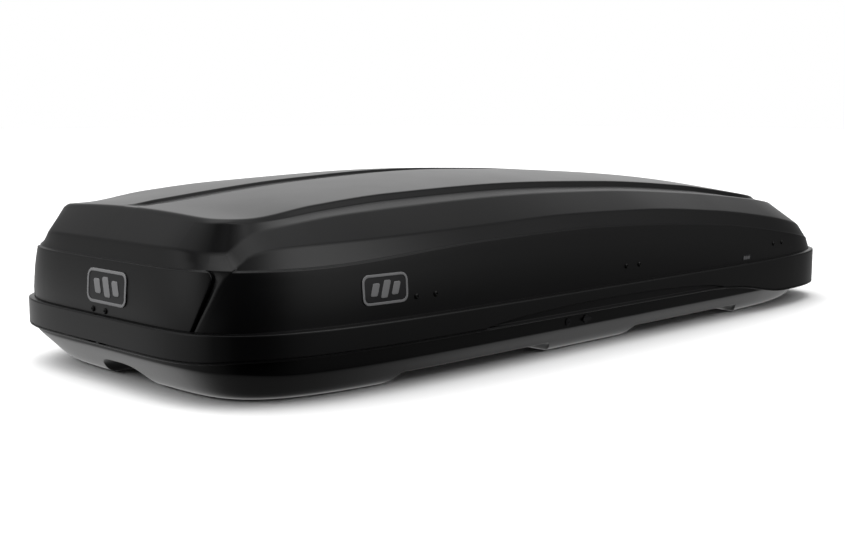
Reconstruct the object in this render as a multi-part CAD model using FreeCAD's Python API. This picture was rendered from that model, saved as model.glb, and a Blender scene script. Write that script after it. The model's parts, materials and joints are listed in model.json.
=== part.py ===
import FreeCAD, Part
import math
import os

# Roof cargo box that opens from either side. Millimetres.
# +X points to the nose, +Y to the left side, +Z up. The origin is on the plane the box stands on,
# under the middle of its outline.

V = FreeCAD.Vector

# ---- driving dimensions -------------------------------------------------------------------------

HALF_LENGTH = 950.0
HALF_WIDTH = 400.0
SEAM_Z = 120.0            # top of the skirt, where lid and base part
WALL = 3.0                # formed plastic sheet
CORNER_POWER = 5.9        # squareness of the outline seen from above
RIM_Z = 106.0             # top edge of the base wall, inside the skirt

CHANNEL_DEPTH = 22.0      # clearance for the roof bars under the floor
CHANNELS = ((-605.0, -170.0), (60.0, 505.0))
CHANNEL_SLOPE = 14.0      # run of the sloped channel ends

AXIS_Y = 350.0            # hinge axes, left and right
AXIS_Z = 70.0
ROD_R = 4.0
PIN_PLAY = 0.1            # radial clearance on pins and shafts
STATIONS = (-549.0, 35.0, 626.0)

LOCK_Y = 323.0            # lock shaft
LOCK_Z = 55.0
CLAW_OFFSETS = (42.0, 42.0, -42.0)
KNOB_X = -115.0
BARREL_X = -170.0
KNOB_Z = 62.0

STRUT_LOW = (269.0, 45.0)                   # lower strut pivot, y and z
STRUT_PLANES = {"rear": (-605.0, 1, (25.0, 282.0)), "front": (677.0, -1, (25.0, 248.0))}

RAIL_Y = 258.0            # middle of the steel rails on the floor
RAIL_WIDTH = 30.0
RAIL_HEIGHT = 4.0
RAIL_ENDS = (-588.0, 488.0)
SLOT_WIDTH = 8.5
SLOT_LENGTH = 300.0
SLOT_X = (-390.0, 280.0)

SIDES = {"left": 1, "right": -1}
RING_POINTS = 26          # points along each half of an outline


# ---- curves -------------------------------------------------------------------------------------

def smooth(stations):
    """Return a height function of x that runs smoothly through (x, height) stations."""
    xs = [s[0] for s in stations]
    hs = [s[1] for s in stations]
    slopes = [(hs[i + 1] - hs[i]) / (xs[i + 1] - xs[i]) for i in range(len(xs) - 1)]
    tangents = [slopes[0]]
    for before, after in zip(slopes, slopes[1:]):
        rising = before * after > 0
        tangents.append(2.0 * before * after / (before + after) if rising else 0.0)
    tangents.append(slopes[-1])

    def height(x):
        x = min(max(x, xs[0]), xs[-1])
        i = max(k for k in range(len(xs) - 1) if xs[k] <= x)
        span = xs[i + 1] - xs[i]
        t = (x - xs[i]) / span
        start = hs[i] * (1 + 2 * t) * (1 - t) ** 2 + tangents[i] * span * t * (1 - t) ** 2
        end = hs[i + 1] * t * t * (3 - 2 * t) - tangents[i + 1] * span * t * t * (1 - t)
        return start + end

    return height


# heights above the seam, rear to nose
skirt_bottom = smooth(((-950, -50), (-880, -43), (300, -45), (420, -51), (640, -79), (950, -83)))
lower_crease = smooth(((-940, 97), (-800, 97), (-400, 116), (-150, 120), (120, 112), (400, 92),
                       (640, 62), (800, 38), (945, 14)))
upper_crease = smooth(((-930, 112), (-860, 115), (-760, 130), (-400, 139), (-150, 145), (120, 140),
                       (400, 121), (640, 93), (800, 68), (940, 42)))
shoulder = smooth(((-928, 127), (-875, 119), (-842, 144), (-802, 155), (-620, 173), (-197, 184),
                   (35, 180), (340, 162), (630, 135), (860, 106)))
roof_edge = smooth(((-880, 170), (-832, 170), (-690, 187), (-523, 199), (-235, 205), (79, 197),
                    (393, 175), (600, 150), (805, 122)))
roof_middle = smooth(((-880, 180), (-500, 214), (-240, 223.5), (0, 218), (224, 206), (435, 190),
                      (700, 152), (815, 124)))
channel_depth = smooth(((-880, 0), (-820, 6), (450, 6), (720, 0), (815, 0)))
base_break = smooth(((-935, 62), (-800, 52), (560, 52), (760, 66), (938, 70)))


def outline_y(x, ring):
    """Half width of a ring at x; a ring is (rear x, nose x, half width, power)."""
    rear, nose, half, power = ring
    reach = -rear if x < 0 else nose
    ratio = min(abs(x) / reach, 1.0)
    return half * (1.0 - ratio ** power) ** (1.0 / power)


def ring_points(ring, height, count=RING_POINTS):
    """Points of the left half of a ring, rear to nose, closer together round the corners."""
    rear, nose, half, power = ring
    points = []
    for i in range(count + 1):
        turn = math.pi * i / count
        c = -math.cos(turn)
        s = math.sin(turn)
        scale = (abs(c) ** power + abs(s) ** power) ** (-1.0 / power)
        x = (-rear if c < 0 else nose) * c * scale
        y = half * s * scale
        points.append(V(x, max(y, 0.0), height(x, max(y, 0.0))))
    return points


def ring_wire(ring, height):
    left = Part.BSplineCurve()
    points = ring_points(ring, height)
    knots = [float(i) for i in range(len(points))]
    left.interpolate(Points=points, Parameters=knots)
    right = Part.BSplineCurve()
    right.interpolate(Points=[V(p.x, -p.y, p.z) for p in points], Parameters=knots)
    return left.toShape(), right.toShape()


def ruled_faces(lower, upper):
    return [Part.makeRuledSurface(a, b) for a, b in zip(lower, upper)]


def cap_face(edges):
    """Face that closes a ring: a plane where the ring is level."""
    if edges[0].BoundBox.ZLength < 0.001:
        return Part.Face(Part.Wire(Part.__sortEdges__(list(edges))))
    return Part.makeRuledSurface(*edges)


def solid_from_rings(rings):
    """Closed solid through a list of (ring, height) pairs, capped at both ends."""
    edges = [ring_wire(ring, height) for ring, height in rings]
    faces = []
    for lower, upper in zip(edges, edges[1:]):
        faces += ruled_faces(lower, upper)
    faces.append(cap_face(edges[0]))
    faces.append(cap_face(edges[-1]))
    shell = Part.Shell(faces)
    if not shell.isClosed():
        sewn = Part.Compound(faces)
        sewn.sewShape(0.01)
        shell = sewn.Shells[0]
    solid = Part.Solid(shell)
    solid.fix(0.01, 0.01, 0.01)
    if solid.Volume < 0:
        solid.reverse()
    return solid


# ---- lid skin -----------------------------------------------------------------------------------

def above_seam(curve, drop):
    return lambda x, y: SEAM_Z + curve(x) - drop


def crowned(drop, groove):
    """Crowned roof height: full at the middle, falling to the roof edge."""
    half = 264.0

    def height(x, y):
        top = roof_middle(x)
        edge = min(roof_edge(x), top - 2.0)
        share = min(y / half, 1.0) ** 2
        return SEAM_Z + top - (top - edge) * share - groove * channel_depth(x) / 6.0 - drop

    return height


LID_RINGS = {
    "foot": (-943.0, 945.0, 388.0, CORNER_POWER),
    "lower_crease": (-936.0, 944.0, 382.0, 5.7),
    "upper_crease": (-929.0, 938.0, 360.0, 5.5),
    "shoulder": (-926.0, 853.0, 299.0, 6.5),
    "ledge": (-884.0, 812.0, 271.0, 7.5),
    "roof_edge": (-878.0, 805.0, 264.0, 7.5),
}


def shrink(ring, amount):
    rear, nose, half, power = ring
    return (rear + amount, nose - amount, half - amount, power)


def lid_rings(inset):
    """Rings of the lid from the seam up to the roof channel, moved inwards by inset."""
    rows = [
        (LID_RINGS["foot"], lambda x, y: SEAM_Z + 2.0 - inset),
        (LID_RINGS["lower_crease"], above_seam(lower_crease, 0.4 * inset)),
        (LID_RINGS["upper_crease"], above_seam(upper_crease, 0.6 * inset)),
        (LID_RINGS["shoulder"], above_seam(shoulder, 0.9 * inset)),
        (LID_RINGS["ledge"], above_seam(lambda x: roof_edge(x) - 11.0, inset)),
        (LID_RINGS["roof_edge"], above_seam(roof_edge, inset)),
        ((-872.0, 790.0, 150.0, 6.0), crowned(inset, 0.0)),
        ((-858.0, 770.0, 36.0 + inset, 4.0), crowned(inset, 0.0)),
        ((-850.0, 760.0, 26.0 + inset, 4.0), crowned(inset, 6.0)),
    ]
    moved = [(shrink(ring, inset), height) for ring, height in rows[:6]]
    return moved + rows[6:]


def make_lid_shell():
    skirt = (-HALF_LENGTH, HALF_LENGTH, HALF_WIDTH, CORNER_POWER)
    inner_skirt = shrink(skirt, WALL)
    outer = [(skirt, above_seam(skirt_bottom, 0.0)), (skirt, lambda x, y: SEAM_Z)]
    inner = [(inner_skirt, above_seam(skirt_bottom, 0.0)), (inner_skirt, lambda x, y: SEAM_Z - WALL)]
    down_inside = list(reversed(inner + lid_rings(WALL)))
    return solid_from_rings(down_inside + outer + lid_rings(0.0))


# ---- base skin ----------------------------------------------------------------------------------

def base_hull(inset, floor):
    """Outer (inset 0) or inner solid of the base, open walls filled."""
    rows = [
        ((-856.0, 872.0, 330.0, 6.0), lambda x, y: floor),
        ((-880.0, 890.0, 352.0, 6.0), lambda x, y: floor + 13.0),
        ((-935.0, 937.0, 388.0, CORNER_POWER), lambda x, y: base_break(x)),
        ((-937.0, 939.0, 388.0, CORNER_POWER), lambda x, y: RIM_Z + (1.0 if inset else 0.0)),
    ]
    return solid_from_rings([(shrink(ring, inset), height) for ring, height in rows])


def channel_prism(ends, grow):
    rear, nose = ends
    top = CHANNEL_DEPTH + grow
    half = HALF_WIDTH + 20.0
    corners = [(rear - grow, -5.0), (rear + CHANNEL_SLOPE - grow, top),
               (nose - CHANNEL_SLOPE + grow, top), (nose + grow, -5.0)]
    points = [V(x, -half, z) for x, z in corners]
    face = Part.Face(Part.makePolygon(points + points[:1]))
    return face.extrude(V(0, 2 * half, 0))


def make_base_tray():
    outer = base_hull(0.0, 0.0)
    inner = base_hull(WALL, WALL)
    for ends in CHANNELS:
        outer = outer.cut(channel_prism(ends, 0.0))
        inner = inner.cut(channel_prism(ends, WALL))
    tray = outer.cut(inner)
    for side in SIDES.values():
        for x, radius in ((KNOB_X, 3.3), (BARREL_X, 6.3)):
            tray = tray.cut(cylinder(V(x, side * 360, KNOB_Z), V(0, side, 0), radius, 45))
        for x in SLOT_X:
            tray = tray.cut(slot(x, side * RAIL_Y, CHANNEL_DEPTH - 5, 20))
    return largest_solid(tray)


def largest_solid(shape):
    return max(shape.Solids, key=lambda solid: solid.Volume)


# ---- plain shapes -------------------------------------------------------------------------------

def cylinder(start, direction, radius, length):
    return Part.makeCylinder(radius, length, start, direction)


def block(x0, x1, y0, y1, z0, z1):
    return Part.makeBox(x1 - x0, y1 - y0, z1 - z0, V(x0, y0, z0))


def plate_across(points, x, thickness):
    """Flat plate at x with an outline of (y, z) points."""
    corners = [V(x - thickness / 2, y, z) for y, z in points]
    face = Part.Face(Part.makePolygon(corners + corners[:1]))
    return face.extrude(V(thickness, 0, 0))


def slot(x, y, z, height):
    """Cutter for a slot along X with round ends."""
    reach = (SLOT_LENGTH - SLOT_WIDTH) / 2
    body = block(x - reach, x + reach, y - SLOT_WIDTH / 2, y + SLOT_WIDTH / 2, z, z + height)
    for end in (-reach, reach):
        body = body.fuse(cylinder(V(x + end, y, z), V(0, 0, 1), SLOT_WIDTH / 2, height))
    return body.removeSplitter()


def arm_outline(path, half_width):
    """Outline of a bent flat bar along a list of (y, z) points."""
    left = []
    right = []
    last = len(path) - 1
    for i, (y, z) in enumerate(path):
        before = path[max(i - 1, 0)]
        after = path[min(i + 1, last)]
        directions = []
        for a, b in ((before, (y, z)), ((y, z), after)):
            length = math.hypot(b[0] - a[0], b[1] - a[1])
            if length > 0:
                directions.append(((b[0] - a[0]) / length, (b[1] - a[1]) / length))
        ty = sum(d[0] for d in directions)
        tz = sum(d[1] for d in directions)
        size = math.hypot(ty, tz)
        ty, tz = ty / size, tz / size
        reach = half_width / max(ty * directions[0][0] + tz * directions[0][1], 0.3)
        left.append((y - tz * reach, z + ty * reach))
        right.append((y + tz * reach, z - ty * reach))
    return left + right[::-1]


def group(shapes):
    return Part.makeCompound(shapes)


def on_side(shape, side):
    return shape if side > 0 else shape.mirror(V(0, 0, 0), V(0, 1, 0))


def lid_wall_y(x, z):
    """Half width of the lid's inner face at x and height z, between seam and lower crease."""
    low = outline_y(x, shrink(LID_RINGS["foot"], WALL))
    high = outline_y(x, shrink(LID_RINGS["lower_crease"], WALL))
    share = (z - SEAM_Z) / lower_crease(x)
    return low + (high - low) * share


# ---- lid reinforcement and hinge brackets -------------------------------------------------------

HOOP_WIDTH = 56.0
HOOP_SHEET = 3.0
HOOP_GAP = 4.0
HOOP_LOW = 145.0          # lower end of each hoop, on the bracket flange
FLANGE_LOW = 134.0
FLANGE_HIGH = 166.0
FLANGE_REACH = 32.0       # half length of a bracket flange
FLANGE_SHEET = 3.0
SCREW_Z = 154.0
SCREW_PITCH = 44.0


def flange_face(x):
    """Half width of a bracket flange's outer face, just inside the lid wall."""
    ends = (-FLANGE_REACH, FLANGE_REACH)
    return min(lid_wall_y(x + end, z) for end in ends for z in (FLANGE_LOW, FLANGE_HIGH)) - 0.3


def hoop_profile(x, gap):
    """Inner section of the lid at a hoop, from the left wall to the middle, gap away from it."""
    reach = HOOP_WIDTH / 2
    places = (x - reach, x, x + reach)
    points = []
    for name, curve, lift in (("lower_crease", lower_crease, 0.0), ("upper_crease", upper_crease, 0.0),
                              ("shoulder", shoulder, 0.0), ("ledge", roof_edge, -11.0),
                              ("roof_edge", roof_edge, 0.0)):
        y = min(outline_y(place, LID_RINGS[name]) for place in places)
        z = min(curve(place) for place in places) + lift
        points.append((y - WALL - gap, SEAM_Z + z - WALL - gap * 0.8))
    y, z = points.pop(3)
    points[-1] = (points[-1][0] - 4.0, points[-1][1])
    middle = min(roof_middle(place) - channel_depth(place) for place in places)
    edge = points[-1][1]
    crown = SEAM_Z + middle - WALL - gap
    points.append((60.0, max(crown, edge)))
    return points


def make_hoop(x):
    outer = hoop_profile(x, HOOP_GAP)
    inner = hoop_profile(x, HOOP_GAP + HOOP_SHEET)
    foot_y = flange_face(x) - FLANGE_SHEET - 0.5
    outer.insert(0, (foot_y, HOOP_LOW))
    inner.insert(0, (foot_y - HOOP_SHEET, HOOP_LOW))
    outside = outer + [(-y, z) for y, z in reversed(outer)]
    inside = inner + [(-y, z) for y, z in reversed(inner)]
    return plate_across(outside + inside[::-1], x, HOOP_WIDTH)


EAR_GAP = 8.0             # from the station to the inner face of each ear
EAR_SHEET = 4.0
GOOSENECK = ((0.0, 0.0), (-18.0, 50.0), (-18.0, 63.0), (20.0, 63.0))


def make_lid_bracket(x):
    """Left lid bracket: two bent ears round the hinge rod, joined by a flange on the lid wall."""
    path = [(AXIS_Y + y, AXIS_Z + z) for y, z in GOOSENECK]
    face_y = flange_face(x)
    path[-1] = (face_y - FLANGE_SHEET / 2, path[-1][1])
    bracket = block(x - FLANGE_REACH, x + FLANGE_REACH, face_y - FLANGE_SHEET, face_y, FLANGE_LOW,
                    FLANGE_HIGH)
    for offset in (-EAR_GAP - EAR_SHEET / 2, EAR_GAP + EAR_SHEET / 2):
        ear = plate_across(arm_outline(path, 6.0), x + offset, EAR_SHEET)
        eye = cylinder(V(x + offset - EAR_SHEET / 2, AXIS_Y, AXIS_Z), V(1, 0, 0), 9.0, EAR_SHEET)
        bracket = bracket.fuse(ear.fuse(eye))
    bore = cylinder(V(x - 40, AXIS_Y, AXIS_Z), V(1, 0, 0), ROD_R + PIN_PLAY, 80)
    return bracket.cut(bore).removeSplitter()


def make_screw(x, z, inner_y):
    """Round-headed screw through the left lid wall, flange and hoop, with its nut at inner_y."""
    face_y = lid_wall_y(x, z) + WALL
    shank = cylinder(V(x, inner_y - 5.0, z), V(0, 1, 0), 2.5, face_y + 0.6 - inner_y + 5.0)
    head = Part.makeSphere(5.4, V(x, face_y - 2.2, z))
    head = head.common(block(x - 6, x + 6, face_y, face_y + 5, z - 6, z + 6))
    nut = cylinder(V(x, inner_y - 4.0, z), V(0, 1, 0), 4.6, 4.0)
    return shank.fuse(head).fuse(nut)


# ---- hinge units --------------------------------------------------------------------------------

ROD_ENDS = (-624.0, 696.0)
ARM_SHEET = 5.0
STRUT_HALF = 5.0          # half thickness of a strut's end eyes


def make_hinge_rod():
    return cylinder(V(ROD_ENDS[0], AXIS_Y, AXIS_Z), V(1, 0, 0), ROD_R, ROD_ENDS[1] - ROD_ENDS[0])


def arm_x(plane, inward):
    return plane + inward * (STRUT_HALF + 1.0 + ARM_SHEET / 2)


def make_hinge_arm(plane, inward):
    """Left arm that carries a strut's lower pivot, clamped on the hinge rod."""
    x = arm_x(plane, inward)
    low = (STRUT_LOW[0], STRUT_LOW[1])
    bar = plate_across(arm_outline([(AXIS_Y, AXIS_Z), low], 8.0), x, ARM_SHEET)
    for y, z, radius in ((AXIS_Y, AXIS_Z, 10.0), (low[0], low[1], 9.0)):
        bar = bar.fuse(cylinder(V(x - ARM_SHEET / 2, y, z), V(1, 0, 0), radius, ARM_SHEET))
    hole = cylinder(V(x - 10, AXIS_Y, AXIS_Z), V(1, 0, 0), ROD_R, 20)
    pivot = cylinder(V(x - 10, low[0], low[1]), V(1, 0, 0), 4.0, 20)
    return bar.cut(hole).cut(pivot).removeSplitter()


def make_pivot_pin(plane, inward):
    """Headed pin through the arm and the strut's lower eye."""
    start = plane - inward * (STRUT_HALF + 3.0)
    length = 2 * STRUT_HALF + 3.0 + 1.0 + ARM_SHEET
    pin = cylinder(V(start, *STRUT_LOW), V(inward, 0, 0), 4.0, length)
    head = cylinder(V(start, *STRUT_LOW), V(inward, 0, 0), 6.5, 2.0)
    return pin.fuse(head).removeSplitter()


# ---- gas struts ---------------------------------------------------------------------------------

TUBE_R = 9.0
TUBE_BORE = 7.5
TUBE_START = 16.0
TUBE_END = 232.0
STRUT_ROD_R = 4.0


def strut_frame(plane, top):
    low = V(plane, *STRUT_LOW)
    high = V(plane, *top)
    direction = (high - low).normalize()
    return low, high, direction


def make_strut_tube(plane, top):
    low, high, along = strut_frame(plane, top)
    tube = cylinder(low + along * TUBE_START, along, TUBE_R, TUBE_END - TUBE_START)
    tube = tube.cut(cylinder(low + along * (TUBE_START + 8), along, TUBE_BORE, 200))
    tube = tube.cut(cylinder(low + along * (TUBE_START + 8), along, STRUT_ROD_R + PIN_PLAY, 300))
    eye = cylinder(low - V(STRUT_HALF, 0, 0), V(1, 0, 0), 9.0, 2 * STRUT_HALF)
    neck = cylinder(low + along * 6, along, 4.5, TUBE_START - 5)
    hole = cylinder(low - V(STRUT_HALF + 1, 0, 0), V(1, 0, 0), 4.0 + PIN_PLAY, 2 * STRUT_HALF + 2)
    return tube.fuse(neck).fuse(eye).cut(hole).removeSplitter()


def make_strut_rod(plane, top):
    low, high, along = strut_frame(plane, top)
    reach = (high - low).Length
    rod = cylinder(low + along * 96, along, STRUT_ROD_R, reach - 96 - 8)
    piston = cylinder(low + along * 96, along, TUBE_BORE - PIN_PLAY, 14)
    return rod.fuse(piston).removeSplitter()


def make_strut_socket(plane, top):
    """Plastic end cap on the rod; it snaps over the lid bracket's ball stud."""
    low, high, along = strut_frame(plane, top)
    cap = cylinder(high - along * 24, along, 5.5, 18)
    cap = cap.fuse(cylinder(high - V(STRUT_HALF, 0, 0), V(1, 0, 0), 8.5, 2 * STRUT_HALF))
    reach = (high - low).Length
    bore = cylinder(low, along, STRUT_ROD_R, reach - 8)
    return cap.cut(bore).removeSplitter()


def make_strut_bracket(plane, inward, top, station):
    """Sheet bracket from the hoop to the two ball studs of one strut plane."""
    hoop_z = hoop_profile(station, HOOP_GAP + HOOP_SHEET)[-1][1]
    face_x = plane + inward * (STRUT_HALF + 6.0)
    far_x = station - inward * (HOOP_WIDTH / 2 - 12.0)
    low_z = top[1] - 12.0
    high_z = hoop_z - 0.2
    x0, x1 = sorted((face_x, face_x + inward * 3.0))
    web = block(x0, x1, -44.0, 44.0, low_z, high_z)
    x0, x1 = sorted((face_x, far_x))
    flange = block(x0, x1, -44.0, 44.0, high_z - 3.0, high_z)
    return web.fuse(flange).removeSplitter()


def make_ball_stud(plane, inward, top, side):
    """Stud that stops 1 mm short of the strut's socket."""
    start = V(plane + inward * (STRUT_HALF + 1.0), side * top[0], top[1])
    stud = cylinder(start, V(inward, 0, 0), 4.0, 5.0)
    nut = cylinder(start + V(inward * 8.0, 0, 0), V(inward, 0, 0), 6.5, 4.0)
    shank = cylinder(start, V(inward, 0, 0), 3.0, 14.0)
    return stud.fuse(shank).fuse(nut).removeSplitter()


# ---- base hinge saddles and locks ---------------------------------------------------------------

SADDLE_SHEET = 12.0


def floor_at(x):
    raised = any(rear < x < nose for rear, nose in CHANNELS)
    return (CHANNEL_DEPTH if raised else 0.0) + WALL


def make_saddle(x):
    """Left saddle: an open-topped seat for the hinge rod and a bearing for the lock shaft."""
    floor = floor_at(x)
    low_y = 338.0 if floor > 20 else 322.0
    outline = [(288, floor), (low_y, floor), (362, 42), (362, 78), (338, 78), (334, 68), (300, 68),
               (288, 44)]
    if floor > 20:
        outline[1] = (342, floor)
    saddle = plate_across(outline, x, SADDLE_SHEET)
    seat = ROD_R + 0.3
    saddle = saddle.cut(cylinder(V(x - 10, AXIS_Y, AXIS_Z), V(1, 0, 0), seat, 20))
    saddle = saddle.cut(block(x - 10, x + 10, AXIS_Y - seat, AXIS_Y + seat, AXIS_Z, 90))
    saddle = saddle.cut(cylinder(V(x - 10, LOCK_Y, LOCK_Z), V(1, 0, 0), ROD_R + PIN_PLAY, 20))
    flange = block(x - 26, x + 26, 288, low_y - 2, floor, floor + 4)
    return saddle.fuse(flange).removeSplitter()


def make_floor_bolt(x, y, top):
    """Button-head bolt through the floor with its head inside."""
    floor = floor_at(x)
    shank = cylinder(V(x, y, floor - WALL), V(0, 0, 1), 3.0, top - floor + WALL)
    head = cylinder(V(x, y, top), V(0, 0, 1), 5.5, 3.2)
    return shank.fuse(head.makeFillet(1.5, [head.Edges[0]])).removeSplitter()


def make_lock_shaft():
    return cylinder(V(-562, LOCK_Y, LOCK_Z), V(1, 0, 0), ROD_R, 562 + 640)


CLAW_OPEN = 60.0          # degrees between locked and rest


def make_claw(x):
    """Claw in its rest, unlocked place: turned inboard from over the hinge rod."""
    outline = [(-8, 0), (-4, 14), (8, 28), (37, 28), (37, 19.7), (21, 19.7), (16, 8), (8, -3)]
    claw = plate_across([(LOCK_Y + y, LOCK_Z + z) for y, z in outline], x, 12.0)
    claw = claw.fuse(cylinder(V(x - 6, LOCK_Y, LOCK_Z), V(1, 0, 0), 9.0, 12.0))
    claw = claw.cut(cylinder(V(x - 10, LOCK_Y, LOCK_Z), V(1, 0, 0), ROD_R, 20)).removeSplitter()
    claw.rotate(V(0, LOCK_Y, LOCK_Z), V(1, 0, 0), CLAW_OPEN)
    return claw


def base_wall_y(x, z):
    low = outline_y(x, (-935.0, 937.0, 388.0, CORNER_POWER))
    high = outline_y(x, (-937.0, 939.0, 388.0, CORNER_POWER))
    return low + (high - low) * (z - 52.0) / (RIM_Z - 52.0)


CASE_X = (-142.0, -88.0)
CASE_Y = (300.0, 343.0)
CASE_Z = (38.0, 82.0)


def make_lock_case():
    """Left lock case, open underneath, round the knob's spindle and the lock shaft."""
    case = block(CASE_X[0], CASE_X[1], CASE_Y[0], CASE_Y[1], CASE_Z[0], CASE_Z[1])
    case = case.makeFillet(5.0, [e for e in case.Edges if e.BoundBox.ZMin > CASE_Z[1] - 1])
    hollow = block(CASE_X[0] + 3, CASE_X[1] - 3, CASE_Y[0] + 3, CASE_Y[1] - 3, CASE_Z[0] - 1,
                   CASE_Z[1] - 3)
    case = case.cut(hollow)
    case = case.cut(cylinder(V(CASE_X[0] - 5, LOCK_Y, LOCK_Z), V(1, 0, 0), ROD_R + 0.3, 70))
    case = case.cut(cylinder(V(KNOB_X, 330, KNOB_Z), V(0, 1, 0), 3.3, 30))
    foot = block(CASE_X[0] + 4, CASE_X[1] - 4, CASE_Y[0] - 2, CASE_Y[0] + 1, 5.0, CASE_Z[0] + 12)
    base = block(CASE_X[0] + 4, CASE_X[1] - 4, CASE_Y[0] - 22, CASE_Y[0] + 1, WALL, WALL + 3)
    foot = foot.cut(block(CASE_X[0], CASE_X[1], 290, 330, CASE_Z[0], CASE_Z[0] + 20))
    return case.fuse(foot).fuse(base).removeSplitter()


def make_lock_lever():
    """Lever fixed on the lock shaft, inside the case."""
    lever = cylinder(V(KNOB_X - 18, LOCK_Y, LOCK_Z), V(1, 0, 0), 8.0, 8.0)
    lever = lever.fuse(block(KNOB_X - 18, KNOB_X - 10, LOCK_Y - 4, LOCK_Y + 4, LOCK_Z, LOCK_Z + 15))
    lever = lever.cut(cylinder(V(KNOB_X - 20, LOCK_Y, LOCK_Z), V(1, 0, 0), ROD_R, 12))
    return lever.removeSplitter()


def make_lock_knob():
    """Left knob outside the base wall: a low grip on a dial and a spindle with a cam disc."""
    wall = base_wall_y(KNOB_X, KNOB_Z)
    spindle = cylinder(V(KNOB_X, 334, KNOB_Z), V(0, 1, 0), 3.0, wall + 1.0 - 334)
    dial = cylinder(V(KNOB_X, wall + 0.5, KNOB_Z), V(0, 1, 0), 8.0, 1.5)
    grip = block(KNOB_X - 12, KNOB_X + 12, wall + 1.8, wall + 4.2, KNOB_Z - 3.2, KNOB_Z + 3.2)
    grip = grip.makeFillet(2.0, [e for e in grip.Edges if abs(e.tangentAt(e.FirstParameter).y) > 0.9])
    cam = cylinder(V(KNOB_X, 333, KNOB_Z), V(0, 1, 0), 7.0, 4.0)
    return spindle.fuse(dial).fuse(grip).fuse(cam).removeSplitter()


def make_lock_barrel():
    """Left key cylinder with a keyway, turning in its housing."""
    wall = base_wall_y(BARREL_X, KNOB_Z)
    barrel = cylinder(V(BARREL_X, 358, KNOB_Z), V(0, 1, 0), 4.5, wall + 2.0 - 358)
    keyway = block(BARREL_X - 2.6, BARREL_X + 2.6, wall - 8.0, wall + 5.0, KNOB_Z - 0.8, KNOB_Z + 0.8)
    return barrel.cut(keyway)


def make_barrel_housing():
    wall = base_wall_y(BARREL_X, KNOB_Z)
    sleeve = cylinder(V(BARREL_X, 362, KNOB_Z), V(0, 1, 0), 6.2, wall + 1.0 - 362)
    collar = cylinder(V(BARREL_X, wall + 0.3, KNOB_Z), V(0, 1, 0), 7.5, 1.2)
    nut = cylinder(V(BARREL_X, 376, KNOB_Z), V(0, 1, 0), 9.5, 5.0)
    bore = cylinder(V(BARREL_X, 350, KNOB_Z), V(0, 1, 0), 4.5 + PIN_PLAY, 60)
    return sleeve.fuse(collar).fuse(nut).cut(bore).removeSplitter()


def make_rail():
    """Left steel rail on the channel floors, slotted for the bar clamps."""
    z = CHANNEL_DEPTH + WALL
    rail = block(RAIL_ENDS[0], RAIL_ENDS[1], RAIL_Y - RAIL_WIDTH / 2, RAIL_Y + RAIL_WIDTH / 2, z,
                 z + RAIL_HEIGHT)
    for x in SLOT_X:
        rail = rail.cut(slot(x, RAIL_Y, z - 1, 10))
    return rail


# ---- rear lug, trim -----------------------------------------------------------------------------

REAR_SCREWS = (-20.0, 20.0)
LUG_Z = 129.0


def make_rear_lug():
    """Lug on the lid's rear wall that drops into the socket on the base."""
    plate = block(-938.8, -935.8, -34.0, 34.0, 121.0, 142.0)
    arm = block(-938.8, -924.0, -14.0, 14.0, 118.0, 124.0)
    tongue = block(-930.0, -924.0, -14.0, 14.0, 84.0, 124.0)
    return plate.fuse(arm).fuse(tongue).removeSplitter()


def make_rear_socket():
    back = block(-933.0, -931.0, -24.0, 24.0, 72.0, 100.0)
    ends = [block(-931.5, -921.0, s - 3.0, s + 3.0, 72.0, 100.0) for s in (-21.0, 21.0)]
    front = block(-923.0, -920.0, -24.0, 24.0, 72.0, 100.0)
    floor = block(-931.5, -921.0, -24.0, 24.0, 72.0, 75.0)
    return back.fuse(ends + [front, floor]).removeSplitter()


def make_rear_screw(y):
    shank = cylinder(V(-943.2, y, LUG_Z), V(1, 0, 0), 2.5, 14.0)
    head = Part.makeSphere(5.4, V(-940.6, y, LUG_Z)).common(block(-947, -942.9, y - 6, y + 6, 120, 140))
    nut = cylinder(V(-935.8, y, LUG_Z), V(1, 0, 0), 4.6, 4.0)
    return shank.fuse(head).fuse(nut)


def rounded_plate(width, height, radius, thickness):
    plate = Part.makeBox(width, thickness, height, V(-width / 2, 0, -height / 2))
    upright = [e for e in plate.Edges if abs(e.tangentAt(e.FirstParameter).y) > 0.9]
    return plate.makeFillet(radius, upright)


def make_side_badge():
    """Blank plate on the left lid wall, behind the rear screws."""
    x, z = -638.0, SEAM_Z + 53.0
    plate = rounded_plate(96.0, 50.0, 12.0, 2.0)
    ends = [(x - 48.0, lid_wall_y(x - 48.0, z)), (x + 48.0, lid_wall_y(x + 48.0, z))]
    turn = math.degrees(math.atan2(ends[1][1] - ends[0][1], 96.0))
    lean = math.degrees(math.atan2(lid_wall_y(x, z + 25) - lid_wall_y(x, z - 25), 50.0))
    plate.rotate(V(0, 0, 0), V(1, 0, 0), -lean)
    plate.rotate(V(0, 0, 0), V(0, 0, 1), turn)
    plate.translate(V(x, lid_wall_y(x, z) + WALL + 0.1, z))
    return plate


def make_rear_badge():
    plate = rounded_plate(118.0, 56.0, 14.0, 2.0)
    plate.rotate(V(0, 0, 0), V(0, 0, 1), 90)
    plate.translate(V(-941.6, -12.0, SEAM_Z + 52.0))
    return plate


def make_side_label():
    x, z = 476.0, SEAM_Z + 12.0
    plate = rounded_plate(32.0, 13.0, 1.5, 0.6)
    turn = math.degrees(math.atan2(lid_wall_y(x + 16, z) - lid_wall_y(x - 16, z), 32.0))
    plate.rotate(V(0, 0, 0), V(0, 0, 1), turn)
    plate.translate(V(x, lid_wall_y(x, z) + WALL + 0.1, z))
    return plate


# ---- nodes --------------------------------------------------------------------------------------

def seat_against(nodes, names, sheet):
    """Trim pieces to the formed sheet they sit on, so that they touch it and don't enter it."""
    for name in names:
        solids = [largest_solid(solid.cut(nodes[sheet])) for solid in nodes[name].Solids]
        nodes[name] = group(solids)


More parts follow.
